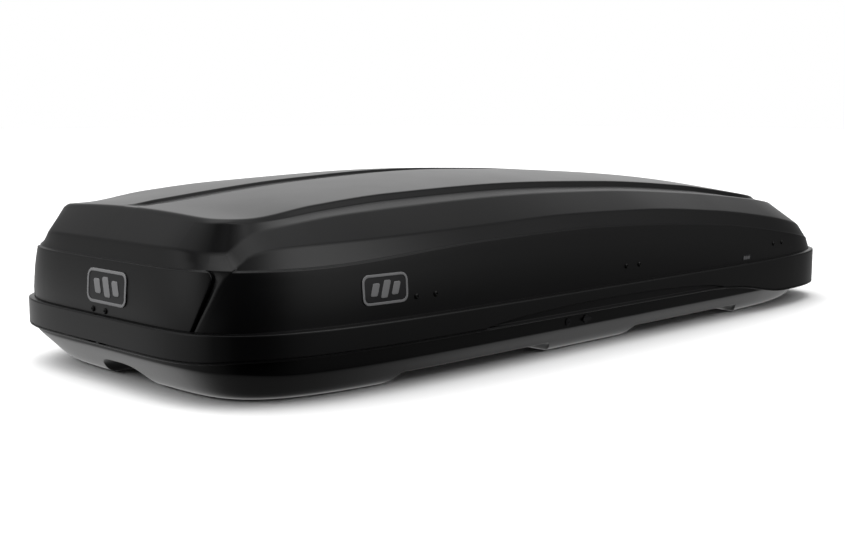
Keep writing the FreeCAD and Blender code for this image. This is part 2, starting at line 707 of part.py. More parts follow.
def hinge_nodes(name, side):
    brackets = [on_side(make_lid_bracket(x), side) for x in STATIONS]
    screws = []
    for x in STATIONS:
        inner = flange_face(x) - FLANGE_SHEET - HOOP_SHEET - 0.7
        for offset in (-SCREW_PITCH / 2, SCREW_PITCH / 2):
            screws.append(on_side(make_screw(x + offset, SCREW_Z, inner), side))
    arms = []
    pins = []
    for plane, inward, top in STRUT_PLANES.values():
        arms.append(on_side(make_hinge_arm(plane, inward), side))
        pins.append(on_side(make_pivot_pin(plane, inward), side))
    saddles = [on_side(make_saddle(x), side) for x in STATIONS]
    bolts = []
    for x in STATIONS:
        for offset in (-19.0, 19.0):
            bolts.append(on_side(make_floor_bolt(x + offset, 300.0, floor_at(x) + 4), side))
    return {
        name + "_lid_brackets": group(brackets),
        name + "_bracket_screws": group(screws),
        name + "_hinge_rod": on_side(make_hinge_rod(), side),
        name + "_hinge_arms": group(arms),
        name + "_pivot_pins": group(pins),
        name + "_hinge_saddles": group(saddles),
        name + "_saddle_bolts": group(bolts),
    }


def lock_nodes(name, side):
    claws = [make_claw(x + offset) for x, offset in zip(STATIONS, CLAW_OFFSETS)]
    return {
        name + "_lock_shaft": on_side(make_lock_shaft(), side),
        name + "_lock_claws": group([on_side(claw, side) for claw in claws]),
        name + "_lock_lever": on_side(make_lock_lever(), side),
        name + "_lock_case": on_side(make_lock_case(), side),
        name + "_lock_knob": on_side(make_lock_knob(), side),
        name + "_lock_barrel": on_side(make_lock_barrel(), side),
        name + "_barrel_housing": on_side(make_barrel_housing(), side),
        name + "_floor_rail": on_side(make_rail(), side),
    }


def strut_nodes():
    nodes = {}
    for place, (plane, inward, top) in STRUT_PLANES.items():
        station = STATIONS[0] if place == "rear" else STATIONS[2]
        nodes[place + "_strut_bracket"] = make_strut_bracket(plane, inward, top, station)
        studs = [make_ball_stud(plane, inward, top, side) for side in SIDES.values()]
        nodes[place + "_ball_studs"] = group(studs)
        for name, side in SIDES.items():
            label = place + "_" + name + "_strut_"
            nodes[label + "tube"] = on_side(make_strut_tube(plane, top), side)
            nodes[label + "rod"] = on_side(make_strut_rod(plane, top), side)
            nodes[label + "socket"] = on_side(make_strut_socket(plane, top), side)
    return nodes


def all_nodes():
    nodes = {"lid_shell": make_lid_shell(), "base_tray": make_base_tray()}
    for place, x in zip(("rear", "middle", "front"), STATIONS):
        nodes[place + "_lid_hoop"] = make_hoop(x)
    for name, side in SIDES.items():
        nodes.update(hinge_nodes(name, side))
        nodes.update(lock_nodes(name, side))
        nodes[name + "_badge"] = on_side(make_side_badge(), side)
    nodes.update(strut_nodes())
    nodes["rear_lug"] = make_rear_lug()
    nodes["rear_socket"] = make_rear_socket()
    nodes["rear_lug_screws"] = group([make_rear_screw(y) for y in REAR_SCREWS])
    nodes["rear_badge"] = make_rear_badge()
    nodes["side_label"] = on_side(make_side_label(), -1)
    on_lid = [name for name in nodes if name.endswith(("_badge", "_lid_hoop"))]
    seat_against(nodes, on_lid + ["side_label", "rear_lug"], "lid_shell")
    seat_against(nodes, ["left_hinge_saddles", "right_hinge_saddles", "rear_socket"], "base_tray")
    return nodes


os.makedirs("parts", exist_ok=True)
for node, shape in all_nodes().items():
    shape.exportStep("parts/" + node + ".step")
    print(node, len(shape.Solids), round(shape.Volume), shape.isValid())
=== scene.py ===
import json
import math

import bmesh
import bpy
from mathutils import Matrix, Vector


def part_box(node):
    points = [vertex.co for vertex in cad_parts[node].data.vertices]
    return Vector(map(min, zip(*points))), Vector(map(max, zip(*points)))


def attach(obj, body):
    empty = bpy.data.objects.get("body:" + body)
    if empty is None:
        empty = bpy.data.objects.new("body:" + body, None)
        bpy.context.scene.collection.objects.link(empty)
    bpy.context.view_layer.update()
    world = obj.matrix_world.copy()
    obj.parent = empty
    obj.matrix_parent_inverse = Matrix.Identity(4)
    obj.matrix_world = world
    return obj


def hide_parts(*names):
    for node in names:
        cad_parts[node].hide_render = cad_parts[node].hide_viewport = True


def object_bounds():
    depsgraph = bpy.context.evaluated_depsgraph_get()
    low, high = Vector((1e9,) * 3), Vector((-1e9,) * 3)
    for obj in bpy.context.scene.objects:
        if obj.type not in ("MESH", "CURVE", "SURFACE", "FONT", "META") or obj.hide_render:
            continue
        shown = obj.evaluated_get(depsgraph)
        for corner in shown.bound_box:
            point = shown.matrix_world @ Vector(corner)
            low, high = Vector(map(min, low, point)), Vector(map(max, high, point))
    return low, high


# Roof cargo box, in metres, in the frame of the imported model: +X to the nose, +Y to the left, +Z up.
# Heights in the lid's curves are above the seam. A ring is an outline seen from above:
# (reach to the rear, reach to the nose, half width, squareness at the nose, squareness at the rear).

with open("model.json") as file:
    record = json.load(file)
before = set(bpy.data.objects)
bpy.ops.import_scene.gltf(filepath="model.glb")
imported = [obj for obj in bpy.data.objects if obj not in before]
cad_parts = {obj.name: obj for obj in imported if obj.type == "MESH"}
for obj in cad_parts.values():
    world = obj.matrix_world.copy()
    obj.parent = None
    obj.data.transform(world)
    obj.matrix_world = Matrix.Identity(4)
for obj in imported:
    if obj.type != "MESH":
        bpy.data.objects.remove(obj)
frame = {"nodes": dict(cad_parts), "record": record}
cad_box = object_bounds()

MM = 0.001
HALF_LENGTH = (cad_box[1].x - cad_box[0].x) / 2
HALF_WIDTH = (cad_box[1].y - cad_box[0].y) / 2
RIM_Z = 0.106                      # top edge of the base wall, hidden inside the skirt
SEAM_Z = RIM_Z + 0.014             # where the lid's wall meets the skirt
SHEET = 0.003                      # formed sheet
STATIONS = [sum(corner.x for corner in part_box(place + "_lid_hoop")) / 2
            for place in ("rear", "middle", "front")]


# ---- curves ---------------------------------------------------------------------------------------

def smooth(stations):
    """Function of x that runs smoothly through (x, value) stations."""
    xs = [s[0] for s in stations]
    values = [s[1] for s in stations]
    slopes = [(values[i + 1] - values[i]) / (xs[i + 1] - xs[i]) for i in range(len(xs) - 1)]
    tangents = [slopes[0]]
    for before, after in zip(slopes, slopes[1:]):
        tangents.append(2 * before * after / (before + after) if before * after > 0 else 0.0)
    tangents.append(slopes[-1])

    def value(x):
        x = min(max(x, xs[0]), xs[-1])
        i = max(k for k in range(len(xs) - 1) if xs[k] <= x)
        span = xs[i + 1] - xs[i]
        t = (x - xs[i]) / span
        start = values[i] * (1 + 2 * t) * (1 - t) ** 2 + tangents[i] * span * t * (1 - t) ** 2
        end = values[i + 1] * t * t * (3 - 2 * t) - tangents[i + 1] * span * t * t * (1 - t)
        return start + end

    return value


def mixed(a, b, share):
    return a + (b - a) * share


def clamped(value, low=0.0, high=1.0):
    return min(max(value, low), high)


def eased(value):
    t = clamped(value)
    return t * t * (3 - 2 * t)


skirt_bottom = smooth(((-0.950, -0.050), (-0.880, -0.043), (0.300, -0.045), (0.420, -0.051),
                       (0.640, -0.079), (0.950, -0.083)))
lower_crease = smooth(((-0.940, 0.097), (-0.800, 0.097), (-0.400, 0.116), (-0.150, 0.120),
                       (0.120, 0.112), (0.400, 0.092), (0.640, 0.062), (0.800, 0.038),
                       (0.945, 0.014)))
upper_crease = smooth(((-0.760, 0.130), (-0.400, 0.139), (-0.150, 0.145), (0.120, 0.140),
                       (0.400, 0.121), (0.640, 0.093), (0.800, 0.068), (0.940, 0.042)))
shoulder = smooth(((-0.928, 0.127), (-0.875, 0.119), (-0.842, 0.144), (-0.802, 0.155),
                   (-0.620, 0.173), (-0.197, 0.184), (0.035, 0.180), (0.340, 0.162),
                   (0.630, 0.135), (0.860, 0.106)))
roof_edge = smooth(((-0.880, 0.170), (-0.832, 0.170), (-0.690, 0.187), (-0.523, 0.199),
                    (-0.235, 0.205), (0.079, 0.197), (0.393, 0.175), (0.600, 0.150),
                    (0.805, 0.122)))
roof_middle = smooth(((-0.880, 0.180), (-0.500, 0.214), (-0.240, 0.2235), (0.0, 0.218),
                      (0.224, 0.206), (0.435, 0.190), (0.700, 0.152), (0.815, 0.124)))
roof_wall = smooth(((-0.884, 0.0066), (-0.860, 0.005), (-0.835, 0.006), (-0.700, 0.011),
                    (-0.500, 0.012), (0.600, 0.012), (0.760, 0.008), (0.812, 0.004)))
channel_depth = smooth(((-0.880, 0.0), (-0.820, 0.006), (0.450, 0.006), (0.720, 0.0), (0.815, 0.0)))
channel_half = smooth(((-0.880, 0.022), (-0.850, 0.026), (-0.800, 0.036), (0.700, 0.036)))
ledge_depth = smooth(((-0.800, 0.0045), (-0.400, 0.003), (0.200, 0.002), (0.940, 0.0012)))
base_break = smooth(((-0.935, 0.062), (-0.800, 0.052), (0.560, 0.052), (0.760, 0.066),
                     (0.938, 0.070)))

BAND = (HALF_LENGTH, HALF_LENGTH, HALF_WIDTH, 5.9, 5.9)
FOOT = (0.943, 0.945, 0.388, 5.9, 5.9)
LOWER = (0.936, 0.944, 0.382, 5.7, 5.7)
UPPER = (0.929, 0.942, 0.360, 5.5, 5.5)
SHOULDER = (0.926, 0.853, 0.299, 6.5, 8.0)
ROOF_FOOT = (0.884, 0.812, 0.2715, 7.0, 14.0)
ROOF_EDGE = (0.878, 0.805, 0.264, 7.0, 14.0)
ROOF_START = (0.866, 0.793, 0.252, 7.0, 14.0)


# ---- outlines and columns -------------------------------------------------------------------------
# A column is one station round half of an outline: ("rear", y), ("rear_corner", share),
# ("side", x), ("nose_corner", share) or ("nose", y). Shares run from the end's straight part, 0,
# to the side, 1. Every row of a skin has a point in every column.

END_Y = 0.200
SIDE_ENDS = {-1: -0.740, 1: 0.700}
PANEL_EDGE = 0.421                 # share of the tail panel's edge at the panel's top
SWOOP = 0.558                      # share of the swooping crease where it leaves the side
SHARE = 0.00454 / MM               # share of a corner in one metre along it
MIDDLE = {-1: 0.67, 1: 0.76}       # share at the middle of the roof's corners

panel_edge_at = smooth(((0.0, 0.252), (0.023, 0.306), (0.049, 0.359), (0.079, 0.410), (0.097, 0.421)))
swoop_at = smooth(((0.002, 0.312), (0.051, 0.430), (0.082, 0.496), (0.100, 0.558)))
PANEL_CORNER = 0.015               # radius of the tail panel's upper corners


def lerp_ring(a, b, share):
    return tuple(mixed(p, q, share) for p, q in zip(a, b))


def ring_end(ring, x):
    """Reach and squareness of a ring at the end that x is on."""
    return (ring[0], ring[4]) if x < 0 else (ring[1], ring[3])


def ring_y(ring, x):
    reach, power = ring_end(ring, x)
    return ring[2] * max(1 - (abs(x) / reach) ** power, 0.0) ** (1 / power)


def ring_x(ring, y, end):
    reach, power = ring_end(ring, end)
    return end * reach * max(1 - (y / ring[2]) ** power, 0.0) ** (1 / power)


def shifted_share(share, height):
    """Share of a rear-corner column at a height, so that two columns follow the slanted edges."""
    top = lower_crease(-0.9)
    level = clamped(height, 0.0, top)
    over = max(level - (top - PANEL_CORNER), 0.0)
    round_off = PANEL_CORNER - math.sqrt(PANEL_CORNER ** 2 - over ** 2)
    panel = panel_edge_at(level) - PANEL_EDGE - round_off * SHARE
    swoop = swoop_at(level) - SWOOP
    stations = ((0.0, 0.0), (PANEL_EDGE - 0.006 * SHARE, panel), (PANEL_EDGE + 0.005 * SHARE, panel),
                (SWOOP - 0.005 * SHARE, swoop), (SWOOP + 0.009 * SHARE, swoop), (1.0, 0.0))
    for (a, shift_a), (b, shift_b) in zip(stations, stations[1:]):
        if share <= b:
            return share + mixed(shift_a, shift_b, (share - a) / (b - a))
    return share


def column_point(ring, column, height=None):
    """(x, y) of a ring at a column, with y positive."""
    zone, value = column
    if zone == "side":
        return value, ring_y(ring, value)
    end = -1 if zone.startswith("rear") else 1
    if not zone.endswith("corner"):
        return ring_x(ring, value, end), value
    reach, power = ring_end(ring, end)
    x, y = SIDE_ENDS[end], ring_y(ring, SIDE_ENDS[end])
    start = math.atan2(END_Y / ring[2], abs(ring_x(ring, END_Y, end)) / reach)
    stop = math.atan2(y / ring[2], abs(x) / reach)
    share = value if height is None or end > 0 else shifted_share(value, height)
    turn = mixed(start, stop, share)
    c, s = math.cos(turn), math.sin(turn)
    scale = (c ** power + s ** power) ** (-1 / power)
    return end * reach * c * scale, ring[2] * s * scale


def outward(ring, x, y):
    """Horizontal unit vector that points out of a ring at (x, y)."""
    reach, power = ring_end(ring, x)
    along = math.copysign(abs(x / reach) ** (power - 1) / reach, x)
    across = (y / ring[2]) ** (power - 1) / ring[2]
    return Vector((along, across, 0.0)).normalized()


def ring_point(ring, column, height, inset=0.0, level=None):
    """Point of a ring moved inwards by inset; height is a number or a function of x."""
    x, y = column_point(ring, column, level)
    z = height(x) if callable(height) else height
    return Vector((x, y, SEAM_Z + z)) - outward(ring, x, y) * inset


def spread(start, stop, step):
    count = max(round(abs(stop - start) / step), 1)
    return [mixed(start, stop, i / count) for i in range(count + 1)]


def half_columns(extra_x=(), fine=True):
    """Columns of one half, rear to nose, and the two indices in the middle of the corners."""
    ys = [0.0, 0.008, 0.016, 0.022, 0.0265, 0.029, 0.031, 0.034, 0.036, 0.0385, 0.043, 0.050, 0.060]
    ys += [0.0655, 0.070, 0.073, 0.0755] + spread(0.080, END_Y, 0.012)
    marks = {0.0, MIDDLE[-1], 1.0}
    if fine:
        marks.update(PANEL_EDGE + d * MM * SHARE for d in (-6, -2.5, -1, 0, 0.6, 2.6, 3.4, 5))
        marks.update(SWOOP + d * MM * SHARE for d in (-5, -2.5, -1, 0, 1, 2.5, 5, 9))
    marks = sorted(marks)
    shares = [0.0]
    for a, b in zip(marks, marks[1:]):
        shares += spread(a, b, 0.030)[1:]
    inner = [s for s in shares if s <= MIDDLE[-1] + 1e-6]
    xs = sorted(set(spread(SIDE_ENDS[-1], SIDE_ENDS[1], 0.012)) | set(extra_x))
    kept = [xs[0]]
    for x in xs[1:]:
        if x - kept[-1] > 0.0012 or x in extra_x:
            kept.append(x)
    nose_inner = spread(0.0, MIDDLE[1], MIDDLE[1] / (len(inner) - 1))
    nose_outer = spread(MIDDLE[1], 1.0, 0.05)[1:]
    columns = [("rear", y) for y in ys[:-1]]
    columns += [("rear_corner", s) for s in shares[:-1]]
    columns += [("side", x) for x in kept]
    columns += [("nose_corner", s) for s in reversed((nose_inner + nose_outer)[:-1])]
    columns += [("nose", y) for y in reversed(ys[:-1])]
    first = len(ys) - 1 + len(inner) - 1
    return columns, first, len(columns) - 1 - first


# ---- skins ----------------------------------------------------------------------------------------

class Skin:
    """Points and faces of a shell that is built from loops, each with one point in every column."""

    def __init__(self):
        self.points = []
        self.faces = []

    def loop(self, half):
        """Add a loop from the points of one half; the right half has negative y."""
        full = [Vector((p.x, -p.y, p.z)) for p in half]
        full += [p.copy() for p in reversed(half[1:-1])]
        start = len(self.points)
        self.points += full
        return list(range(start, start + len(full)))

    def band(self, lower, upper):
        count = len(lower)
        for i in range(count):
            j = (i + 1) % count
            self.faces.append((lower[i], lower[j], upper[j], upper[i]))

    def stack(self, loops):
        indices = [self.loop(half) for half in loops]
        for lower, upper in zip(indices, indices[1:]):
            self.band(lower, upper)
        return indices[0], indices[-1]

    def patch(self, ring, first, last, height, bend=None):
        """Fill a loop with a grid; first and last are the columns in the middle of the corners."""
        count = len(ring)
        half = count // 2
        side_count = last - first
        rows = []
        for i in range(-first, first + 1):
            rear = ring[-i] if i <= 0 else ring[count - i]
            nose = ring[half + i]
            p, q = self.points[rear], self.points[nose]
            row = [rear]
            for j in range(1, side_count):
                edge = self.points[ring[first + j]]
                corner_rear = self.points[ring[first]]
                corner_nose = self.points[ring[last]]
                if abs(i) == first:
                    row.append(ring[first + j] if i < 0 else ring[count - first - j])
                    continue
                v = (edge.x - corner_rear.x) / (corner_nose.x - corner_rear.x)
                x = edge.x + (1 - v) ** 3 * (p.x - corner_rear.x) + v ** 3 * (q.x - corner_nose.x)
                y = mixed(abs(p.y), abs(q.y), v)
                full = mixed(abs(corner_rear.y), abs(corner_nose.y), v)
                share = clamped((y - 0.06) / (full - 0.06))
                y = y + (abs(edge.y) - full) * share
                y = bend(x, y) if bend else y
                y = math.copysign(y, i) if i else 0.0
                row.append(len(self.points))
                self.points.append(Vector((x, y, height(x, y))))
            row.append(nose)
            rows.append(row)
        for a, b in zip(rows, rows[1:]):
            for j in range(side_count):
                self.faces.append((a[j], a[j + 1], b[j + 1], b[j]))

    def build(self, name):
        mesh = bpy.data.meshes.new(name)
        mesh.from_pydata([tuple(p) for p in self.points], [], self.faces)
        return finished_piece(name, mesh)


def finished_piece(name, mesh, merge=2e-6):
    """Object with a clean, smooth-shaded mesh whose large faces keep their own normals."""
    bm = bmesh.new()
    bm.from_mesh(mesh)
    bmesh.ops.remove_doubles(bm, verts=bm.verts, dist=merge)
    bmesh.ops.dissolve_degenerate(bm, edges=bm.edges, dist=1e-6)
    bmesh.ops.recalc_face_normals(bm, faces=bm.faces)
    for face in bm.faces:
        face.smooth = True
    bm.to_mesh(mesh)
    bm.free()
    piece = bpy.data.objects.new(name, mesh)
    bpy.context.scene.collection.objects.link(piece)
    piece.modifiers.new("even_shading", "WEIGHTED_NORMAL")
    return piece


ROUND = (0.0, 0.35, 0.65, 1.0)


def rounded(controls):
    """Points along a polyline of (point, setback) whose corners are rounded off."""
    result = []
    for i, (point, setback) in enumerate(controls):
        if setback == 0.0 or i in (0, len(controls) - 1):
            result.append(point)
            continue
        ends = []
        for other in (controls[i - 1][0], controls[i + 1][0]):
            away = other - point
            length = away.length
            reach = min(setback, 0.45 * length)
            ends.append(point + away * (reach / length) if length > 1e-9 else point.copy())
        for t in ROUND:
            a = ends[0].lerp(point, t)
            b = point.lerp(ends[1], t)
            result.append(a.lerp(b, t))
    return result


# ---- lid ------------------------------------------------------------------------------------------

GROOVE_MIDDLE = -0.020             # finger groove along the skirt
GROOVE_HALF = 0.393
GROOVE_DEPTH = 0.0037
LIP_SHARE = 0.3                    # how far its lower lip stands out, as a share of its depth
FACET_DEPTH = 0.005                # how far the tail panel stands proud of the facet beside it
WALL_START = 0.0025                # height of the wall's foot above the seam
GAP_DEPTH = 0.0085                 # dark gap between the tail panel and the facet
GAP_WIDTH = 0.0034
BULGE = 0.12                       # how full the lower wall is, as a share of its height
gap_inset = smooth(((-0.0025, 0.0), (-0.001, 0.0002), (0.0, 0.001), (0.0006, GAP_DEPTH),
                    (0.0026, GAP_DEPTH), (GAP_WIDTH, FACET_DEPTH)))


def groove_shape(x):
    """Height and fullness of the finger groove at x."""
    t = abs(x - GROOVE_MIDDLE) / GROOVE_HALF
    if t >= 1:
        return 0.0035, 0.0
    return 0.0035 + 0.019 * (1 - t * t) ** 0.7, eased((1 - t) * GROOVE_HALF / 0.009)


def facet_inset(column):
    """How far the wall lies inside its ring between the tail panel and the swoop."""
    zone, share = column
    if zone != "rear_corner" or share >= SWOOP:
        return 0.0
    from_panel = (share - PANEL_EDGE) / SHARE
    if from_panel < GAP_WIDTH:
        return gap_inset(from_panel)
    to_swoop = (SWOOP - share) / SHARE
    width = (SWOOP - PANEL_EDGE) / SHARE - GAP_WIDTH
    blend = 0.002
    return FACET_DEPTH * (math.hypot(to_swoop, blend) - blend) / (math.hypot(width, blend) - blend)


def on_tail_panel(column):
    zone, share = column
    return zone == "rear" or zone == "rear_corner" and share <= PANEL_EDGE


def crease_step(column, x):
    """Depth of the ledge above the lower wall."""
    if on_tail_panel(column):
        return FACET_DEPTH
    if column[0] == "rear_corner":
        if column[1] < SWOOP:
            return max(min(facet_inset(column), FACET_DEPTH), 0.0)
        return ledge_depth(x) * clamped((column[1] - SWOOP) / (0.004 * SHARE))
    return ledge_depth(x)


def wall_top(column):
    return lower_crease(column_point(LOWER, column)[0])


def bulge_at(share, height):
    return BULGE * height * share * (1 - share) * min(height / 0.1, 1.0)


def wall_point(column, share):
    """Point of the lid's lower wall at a share of its height."""
    top = wall_top(column)
    height = top - WALL_START
    z = WALL_START + height * share
    inset = facet_inset(column) - bulge_at(share, height)
    return ring_point(lerp_ring(FOOT, LOWER, share), column, z, inset, z)


def roof_height(x, y):
    """Height of the roof: crowned across, with a shallow channel along the middle."""
    top = roof_middle(x)
    edge = min(roof_edge(x), top - 0.002)
    crown = (top - edge) * clamped(abs(y) / ROOF_EDGE[2]) ** 2
    channel = channel_depth(x) * eased((channel_half(x) - abs(y)) / 0.007)
    return SEAM_Z + top - crown - channel


def roof_bend(x, y):
    """Move the grid lines beside the roof channel so that they follow its edges."""
    edge = 0.036
    scale = channel_half(x) / edge
    if y <= edge:
        return y * scale
    if y < 0.06:
        return mixed(edge * scale, 0.06, (y - edge) / (0.06 - edge))
    return y


def upper_points(column):
    """Ledge, upper crease and shoulder of the lid at a column."""
    zone, value = column
    x = column_point(LOWER, column)[0]
    top = wall_top(column)
    step = crease_step(column, x)
    ledge = ring_point(LOWER, column, top, step, top)
    edge = ring_point(SHOULDER, column, shoulder)
    if zone == "rear" or zone == "rear_corner" and value < SWOOP:
        share = 0.35 if zone == "rear" else mixed(0.06, 0.35, eased((SWOOP - value) / 0.15))
        return ledge, ledge.lerp(edge, share), edge
    height = upper_crease
    blend = 1.0
    if zone == "rear_corner":
        height = corner_crease(value)
        blend = clamped((height - top) / 0.0335)
    ring = lerp_ring(LOWER, UPPER, blend)
    return ledge, ring_point(ring, column, height, step * (1 - blend)), edge


corner_crease = smooth(((0.558, 0.1000), (0.598, 0.108), (0.636, 0.1165), (0.716, 0.1235),
                        (0.850, 0.1285), (1.0, 0.1306)))


def roof_points(column):
    """Foot and top of the low wall round the roof, and the start of the roof itself."""
    edge = ring_point(ROOF_EDGE, column, 0.0)
    edge.z = roof_height(edge.x, edge.y)
    foot = ring_point(ROOF_FOOT, column, 0.0)
    foot.z = edge.z - roof_wall(foot.x)
    start = ring_point(ROOF_START, column, 0.0)
    start.z = roof_height(start.x, start.y)
    return foot, edge, start


def lid_outside(column):
    """Rounded profile of the lid at a column, from the skirt's lower edge to the roof."""
    x = column_point(BAND, column)[0]
    low = skirt_bottom(x)
    rise, fullness = groove_shape(x) if column[0] == "side" else (0.0035, 0.0)
    depth = GROOVE_DEPTH * fullness
    facet = facet_inset(column)
    top = wall_top(column)
    tight = min((top - WALL_START) / 0.06, 1.0)
    controls = [
        (ring_point(BAND, column, low, SHEET), 0.0),
        (ring_point(BAND, column, low), 0.0015),
        (ring_point(BAND, column, low + 0.0026, -LIP_SHARE * depth), 0.0008),
        (ring_point(BAND, column, low + 0.0058, depth), 0.0012),
        (ring_point(BAND, column, low + rise - 0.0014, depth * 0.8), 0.0010),
        (ring_point(BAND, column, low + rise), 0.001),
        (ring_point(BAND, column, 0.0), 0.003),
        (ring_point(BAND, column, 0.0018, 0.0106, 0.0), 0.0005),
        (ring_point(FOOT, column, -0.0010, facet, 0.0), 0.0),
        (wall_point(column, 0.0), 0.0),
    ]
    height = top - WALL_START
    for share in (0.18, 0.36, 0.54, 0.70):
        controls.append((wall_point(column, share), 0.0))
    for drop in (0.014, 0.010, 0.007, 0.0045):
        controls.append((wall_point(column, 1 - drop * tight / height), 0.0))
    controls.append((wall_point(column, 1 - 0.0022 * tight / height), 0.0015))
    ledge, crease, edge = upper_points(column)
    foot, roof, start = roof_points(column)
    controls += [(ledge, 0.0008), (crease, 0.004), (edge, 0.0045), (foot, 0.0025), (roof, 0.0035),
                 (start, 0.0)]
    return rounded(controls)


def lid_inside(column):
    """Profile of the lid's inner face, from the roof down to the skirt's lower edge."""
    x = column_point(BAND, column)[0]
    low = skirt_bottom(x)
    rise, fullness = groove_shape(x) if column[0] == "side" else (0.0035, 0.0)
    behind = mixed(SHEET, GROOVE_DEPTH + 0.0012, fullness)
    ledge, crease, edge = upper_points(column)
    foot, roof, start = roof_points(column)
    outer = [wall_point(column, 0.0), wall_point(column, 0.5), ledge, crease, edge, foot, roof, start]
    facet = facet_inset(column)
    inner = []
    for i, point in enumerate(outer[:-1]):
        before = outer[max(i - 1, 0)]
        along = outer[i + 1] - before
        out = outward(FOOT, point.x, point.y)
        level = Vector((-out.y, out.x, 0.0))
        normal = along.cross(level).normalized()
        if normal.dot(out) + normal.z > 0:
            normal = -normal
        inner.append(point + normal * SHEET)
    inner.append(start - Vector((0.0, 0.0, SHEET)))
    lower = [
        ring_point(FOOT, column, -0.004, facet + SHEET, 0.0),
        ring_point(BAND, column, -0.004, SHEET),
        ring_point(BAND, column, low + rise + 0.002, SHEET),
        ring_point(BAND, column, low + rise - 0.001, behind),
        ring_point(BAND, column, low + 0.003, behind),
        ring_point(BAND, column, low + 0.0018, SHEET),
    ]
    return inner[::-1] + lower


def make_lid():
    ends = [GROOVE_MIDDLE + sign * GROOVE_HALF for sign in (-1, 1)]
    extra = [end + d * MM for end in ends for d in (-9, -6, -4, -2, 0, 2, 4, 6, 9)]
    columns, first, last = half_columns(extra)
    inside = [lid_inside(column) for column in columns]
    outside = [lid_outside(column) for column in columns]
    skin = Skin()
    profiles = [a + b for a, b in zip(inside, outside)]
    loops = [[profile[k] for profile in profiles] for k in range(len(profiles[0]))]
    ceiling, roof = skin.stack(loops)
    skin.patch(ceiling, first, last, lambda x, y: roof_height(x, y) - SHEET, roof_bend)
    skin.patch(roof, first, last, roof_height, roof_bend)
    return skin.build("lid")


# ---- base -----------------------------------------------------------------------------------------

CHANNEL_TOP = 0.022                # raised floor over each roof bar
CHANNELS = ((-0.605, -0.170), (0.060, 0.505))
CHANNEL_RUN = 0.030                # length of the slope at each end
SPINE_HALF = (0.034, 0.076)        # lengthwise groove under the floor: along it, and at the tail
SPINE_TOP = (0.016, 0.036)
SLOTS_X = (-0.390, 0.280)           # slots for the bar clamps
SLOT_SIZE = (0.300, 0.0085)
SPINDLE_HOLE = 0.0033              # radii of the holes for the knob's spindle and the key barrel
BARREL_HOLE = 0.0063
BASE_RING = (0.937, 0.939, 0.388, 5.9, 5.9)
BASE_FLOOR = (0.866, 0.874, 0.332, 6.0, 6.2)
base_inset = smooth(((0.0, 1.0), (0.04, 0.86), (0.12, 0.72), (0.25, 0.585), (0.60, 0.30), (0.88, 0.075),
                     (0.97, 0.012), (1.0, 0.0)))


def floor_height(x, y):
    """Height of the floor's underside: raised over the roof bars and along the spine."""
    lift = 0.0
    for rear, nose in CHANNELS:
        lift += eased((x - rear) / CHANNEL_RUN) * eased((nose - x) / CHANNEL_RUN)
    tail = eased((-0.62 - x) / 0.16)
    half = mixed(SPINE_HALF[0], SPINE_HALF[1], tail)
    across = clamped(abs(y) / half)
    spine = (1 - across ** 4) ** 0.8 * mixed(SPINE_TOP[0], SPINE_TOP[1], tail)
    return max(CHANNEL_TOP * lift, spine)


def base_profile(column, inset):
    """Profile of the base wall from the rim down to the floor; inset is 0 outside."""
    x, y = column_point(BASE_RING, column)
    line = base_break(x)
    low = floor_height(x, y) + inset
    points = [ring_point(BASE_RING, column, RIM_Z - SEAM_Z, inset),
              ring_point(BASE_RING, column, mixed(RIM_Z, line, 0.5) - SEAM_Z, inset)]
    for share in (1.0, 0.96, 0.92, 0.87, 0.72, 0.55, 0.40, 0.28, 0.20, 0.13, 0.07, 0.03, 0.0):
        z = mixed(low, line, share)
        ring = lerp_ring(BASE_RING, BASE_FLOOR, base_inset(z / line))
        points.append(ring_point(ring, column, z - SEAM_Z, inset))
    return points


def bar_cutter(place, size):
    """Upright cutter with round ends for a slot along X; place is its middle at the bottom."""
    reach = (size[0] - size[1]) / 2
    outline = []
    for end in (1, -1):
        for k in range(9):
            turn = math.radians(-90 + 22.5 * k)
            outline.append((end * (reach + math.cos(turn) * size[1] / 2),
                            end * math.sin(turn) * size[1] / 2))
    return prism(outline, place, Vector((0, 0, 1)), Vector((1, 0, 0)), 0.03)


def prism(outline, place, direction, first, length):
    """Closed mesh from a flat outline in the directions first and direction x first."""
    second = direction.cross(first)
    count = len(outline)
    points = [place + first * u + second * v + direction * reach
              for reach in (0.0, length) for u, v in outline]
    faces = [tuple(range(count))[::-1], tuple(range(count, 2 * count))]
    faces += [(i, (i + 1) % count, count + (i + 1) % count, count + i) for i in range(count)]
    return points, faces


def cut_out(piece, cutters):
    """Cut closed shapes out of a piece and apply the result."""
    points, faces = [], []
    for more_points, more_faces in cutters:
        start = len(points)
        points += more_points
        faces += [tuple(i + start for i in face) for face in more_faces]
    mesh = bpy.data.meshes.new("cutter")
    mesh.from_pydata([tuple(p) for p in points], [], faces)
    bm = bmesh.new()
    bm.from_mesh(mesh)
    bmesh.ops.recalc_face_normals(bm, faces=bm.faces)
    bm.to_mesh(mesh)
    bm.free()
    cutter = bpy.data.objects.new("cutter", mesh)
    bpy.context.scene.collection.objects.link(cutter)
    piece.modifiers.clear()
    cut = piece.modifiers.new("cut", "BOOLEAN")
    cut.object = cutter
    cut.solver = "EXACT"
    graph = bpy.context.evaluated_depsgraph_get()
    result = bpy.data.meshes.new_from_object(piece.evaluated_get(graph))
    piece.modifiers.clear()
    piece.data = result
    bpy.data.objects.remove(cutter)
    piece.modifiers.new("even_shading", "WEIGHTED_NORMAL")


def middle_of(node):
    low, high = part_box(node)
    return (low + high) / 2


